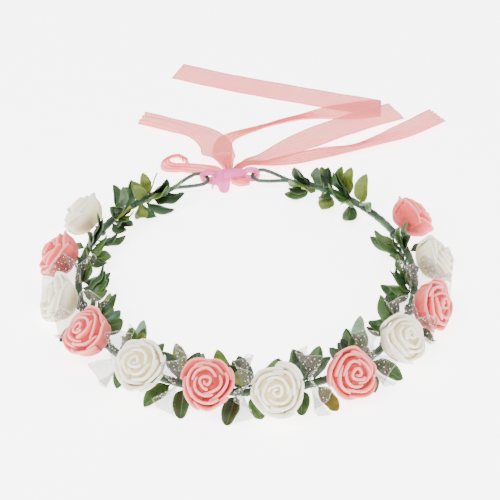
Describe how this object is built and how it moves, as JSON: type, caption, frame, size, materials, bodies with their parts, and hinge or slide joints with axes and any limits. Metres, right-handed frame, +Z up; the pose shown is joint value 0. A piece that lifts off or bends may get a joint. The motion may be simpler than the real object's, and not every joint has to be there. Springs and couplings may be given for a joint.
{
  "type": "flower crown",
  "caption": "Flower crown: a tape-wrapped wire ring with foam roses, leaf sprigs and dotted tulle, closed at the back by an organza ribbon tied through wire eyes.",
  "frame": {"origin": "centre of the head opening, in the plane of the ring's wire", "axes": "+Z up out of the worn crown, +Y towards the ribbon tie at the back, -Y towards the middle of the roses, +X towards the wearer's left"},
  "size_m": [0.2461, 0.3472, 0.0309],
  "materials": {
    "coated_wire": "dark green plastic-coated wire",
    "floral_tape": "stretched waxed crepe tape",
    "pink_foam": "matt closed-cell foam sheet",
    "white_foam": "matt closed-cell foam sheet",
    "leaf": "satin moulded leaf with veins",
    "tulle": "sheer net with small white dots",
    "organza_ribbon": "sheer organza with a woven edge"
  },
  "bodies": {
    "crown": {"base_wire": "coated_wire", "floral_tape": "floral_tape", "eye_bindings": "floral_tape", "rose_stems": "coated_wire", "rose_01_petals": "white_foam", "rose_02_petals": "pink_foam", "rose_03_petals": "white_foam", "rose_04_petals": "pink_foam", "rose_05_petals": "white_foam", "rose_06_petals": "pink_foam", "rose_07_petals": "white_foam", "rose_08_petals": "pink_foam", "rose_09_petals": "white_foam", "rose_10_petals": "pink_foam", "rose_11_petals": "white_foam", "rose_12_petals": "pink_foam", "rose_01_bud": "white_foam", "rose_02_bud": "pink_foam", "rose_03_bud": "white_foam", "rose_04_bud": "pink_foam", "rose_05_bud": "white_foam", "rose_06_bud": "pink_foam", "rose_07_bud": "white_foam", "rose_08_bud": "pink_foam", "rose_09_bud": "white_foam", "rose_10_bud": "pink_foam", "rose_11_bud": "white_foam", "rose_12_bud": "pink_foam", "leaf_sprig_01": "leaf", "leaf_sprig_02": "leaf", "leaf_sprig_03": "leaf", "leaf_sprig_04": "leaf", "leaf_sprig_05": "leaf", "leaf_sprig_06": "leaf", "leaf_sprig_07": "leaf", "leaf_sprig_08": "leaf", "leaf_sprig_09": "leaf", "leaf_sprig_10": "leaf", "leaf_sprig_11": "leaf", "leaf_sprig_left_arm": "leaf", "leaf_sprig_left_eye": "leaf", "leaf_sprig_right_arm": "leaf", "leaf_sprig_right_eye": "leaf", "tulle_ruffle_02": "tulle", "tulle_ruffle_03": "tulle", "tulle_ruffle_04": "tulle", "tulle_ruffle_05": "tulle", "tulle_ruffle_06": "tulle", "tulle_ruffle_07": "tulle", "tulle_ruffle_08": "tulle", "tulle_ruffle_09": "tulle", "tulle_ruffle_10": "tulle", "ribbon_left_loop": "organza_ribbon", "ribbon_right_loop": "organza_ribbon"},
    "ribbon": {"ribbon_knot": "organza_ribbon", "ribbon_ear": "organza_ribbon"},
    "short_end": {"ribbon_short_end": "organza_ribbon"},
    "long_tail": {"ribbon_long_tail": "organza_ribbon"},
    "wide_tail": {"ribbon_wide_tail": "organza_ribbon"},
    "right_tail": {"ribbon_right_tail": "organza_ribbon"}
  },
  "joints": [
    {"name": "ribbon_swing", "type": "hinge", "parent": "crown", "child": "ribbon", "pos_m": [-0.00999, 0.09501, 0], "axis": [0.9945, 0.1045, 0], "range_deg": [-85, 60]},
    {"name": "short_end_swing", "type": "hinge", "parent": "ribbon", "child": "short_end", "pos_m": [-0.00999, 0.09501, 0], "axis": [0, 0, 1], "range_deg": [-12, 12]},
    {"name": "long_tail_swing", "type": "hinge", "parent": "ribbon", "child": "long_tail", "pos_m": [-0.00999, 0.09501, 0], "axis": [0, 0, 1], "range_deg": [-10, 6]},
    {"name": "wide_tail_swing", "type": "hinge", "parent": "ribbon", "child": "wide_tail", "pos_m": [-0.00999, 0.09501, 0], "axis": [0, 0, 1], "range_deg": [-12, 12]},
    {"name": "right_tail_swing", "type": "hinge", "parent": "ribbon", "child": "right_tail", "pos_m": [-0.00999, 0.09501, 0], "axis": [0, 0, 1], "range_deg": [-4, 14]}
  ]
}
